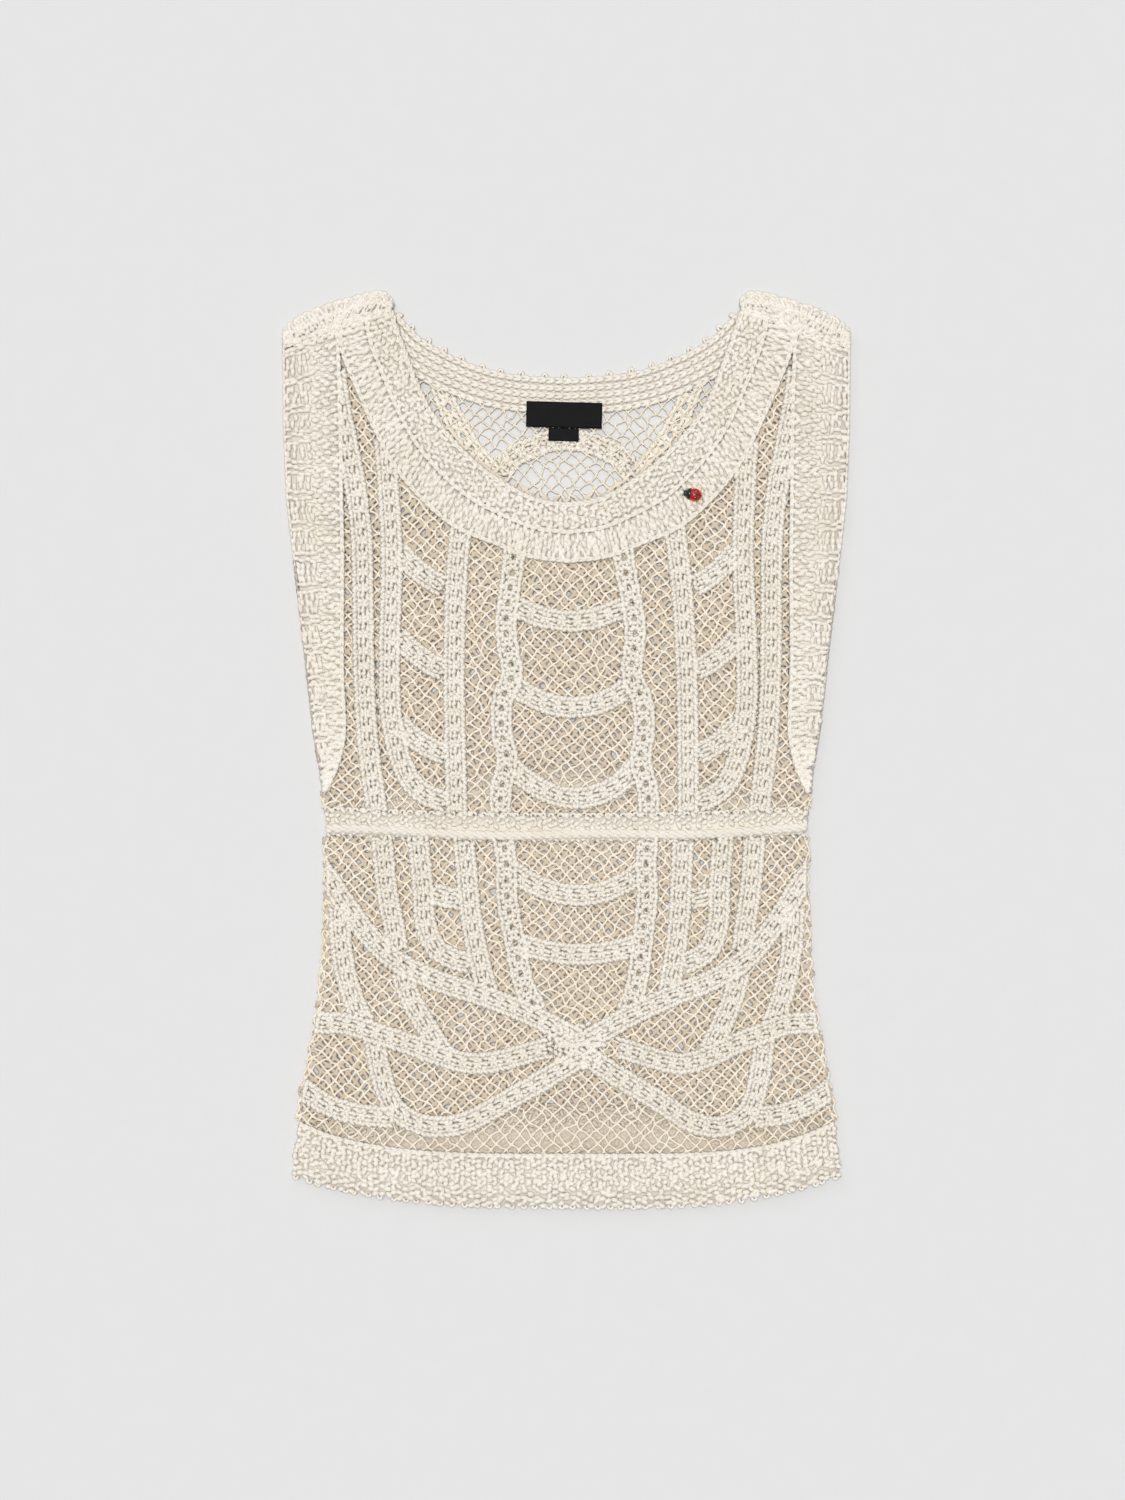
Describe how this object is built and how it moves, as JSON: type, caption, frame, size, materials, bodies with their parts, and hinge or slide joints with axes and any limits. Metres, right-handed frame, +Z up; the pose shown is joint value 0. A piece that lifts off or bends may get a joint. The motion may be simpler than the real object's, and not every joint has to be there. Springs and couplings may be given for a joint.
{
  "type": "crochet top",
  "caption": "Sleeveless crochet top in cotton tape lace, laid flat with its front up: net panels under curved tapes, with wide neck, armhole, waist and hem bands.",
  "frame": {"origin": "centre of the laid garment's bounding box, at the surface it lies on", "axes": "+X to the right as seen from above, +Y along the length towards the neck, +Z up through the layers"},
  "size_m": [0.3762, 0.605, 0.0128],
  "materials": {
    "yarn": "matt ivory cotton yarn in dense crochet",
    "net_yarn": "matt ivory cotton thread in an open diamond net",
    "ribbon": "plain black woven ribbon",
    "enamel": "glossy red and black enamel on gilt metal"
  },
  "bodies": {
    "root": {"back_arch": "yarn", "back_arm_tape_left": "yarn", "back_arm_tape_right": "yarn", "back_armhole_band_left": "yarn", "back_armhole_band_right": "yarn", "back_centre_tape_left": "yarn", "back_centre_tape_right": "yarn", "back_hem_band": "yarn", "back_knot": "yarn", "back_low_centre_tape_left": "yarn", "back_low_centre_tape_right": "yarn", "back_lower_net": "net_yarn", "back_neck_band": "yarn", "back_outer_tape_left": "yarn", "back_outer_tape_right": "yarn", "back_rib_ladder_left": "yarn", "back_rib_ladder_right": "yarn", "back_slant_tape_left": "yarn", "back_slant_tape_right": "yarn", "back_swag_1": "yarn", "back_swag_2": "yarn", "back_swag_4": "yarn", "back_upper_net": "net_yarn", "back_waist_band": "yarn", "beetle_brooch": "enamel", "front_arm_tape_left": "yarn", "front_arm_tape_right": "yarn", "front_armhole_band_left": "yarn", "front_armhole_band_right": "yarn", "front_centre_tape_left": "yarn", "front_centre_tape_right": "yarn", "front_hem_band": "yarn", "front_knot": "yarn", "front_level_tape_left": "yarn", "front_level_tape_right": "yarn", "front_low_centre_tape_left": "yarn", "front_low_centre_tape_right": "yarn", "front_low_ladder_left": "yarn", "front_low_ladder_right": "yarn", "front_lower_net": "net_yarn", "front_neck_band_inner": "yarn", "front_neck_band_outer": "yarn", "front_outer_tape_left": "yarn", "front_outer_tape_right": "yarn", "front_rib_ladder_left": "yarn", "front_rib_ladder_right": "yarn", "front_slant_tape_left": "yarn", "front_slant_tape_right": "yarn", "front_swag_1": "yarn", "front_swag_2": "yarn", "front_swag_3": "yarn", "front_swag_4": "yarn", "front_swag_5": "yarn", "front_upper_net": "net_yarn", "front_waist_band": "yarn", "neck_label": "ribbon", "shoulder_strip_left": "yarn", "shoulder_strip_right": "yarn", "size_tab": "ribbon"}
  },
  "joints": []
}
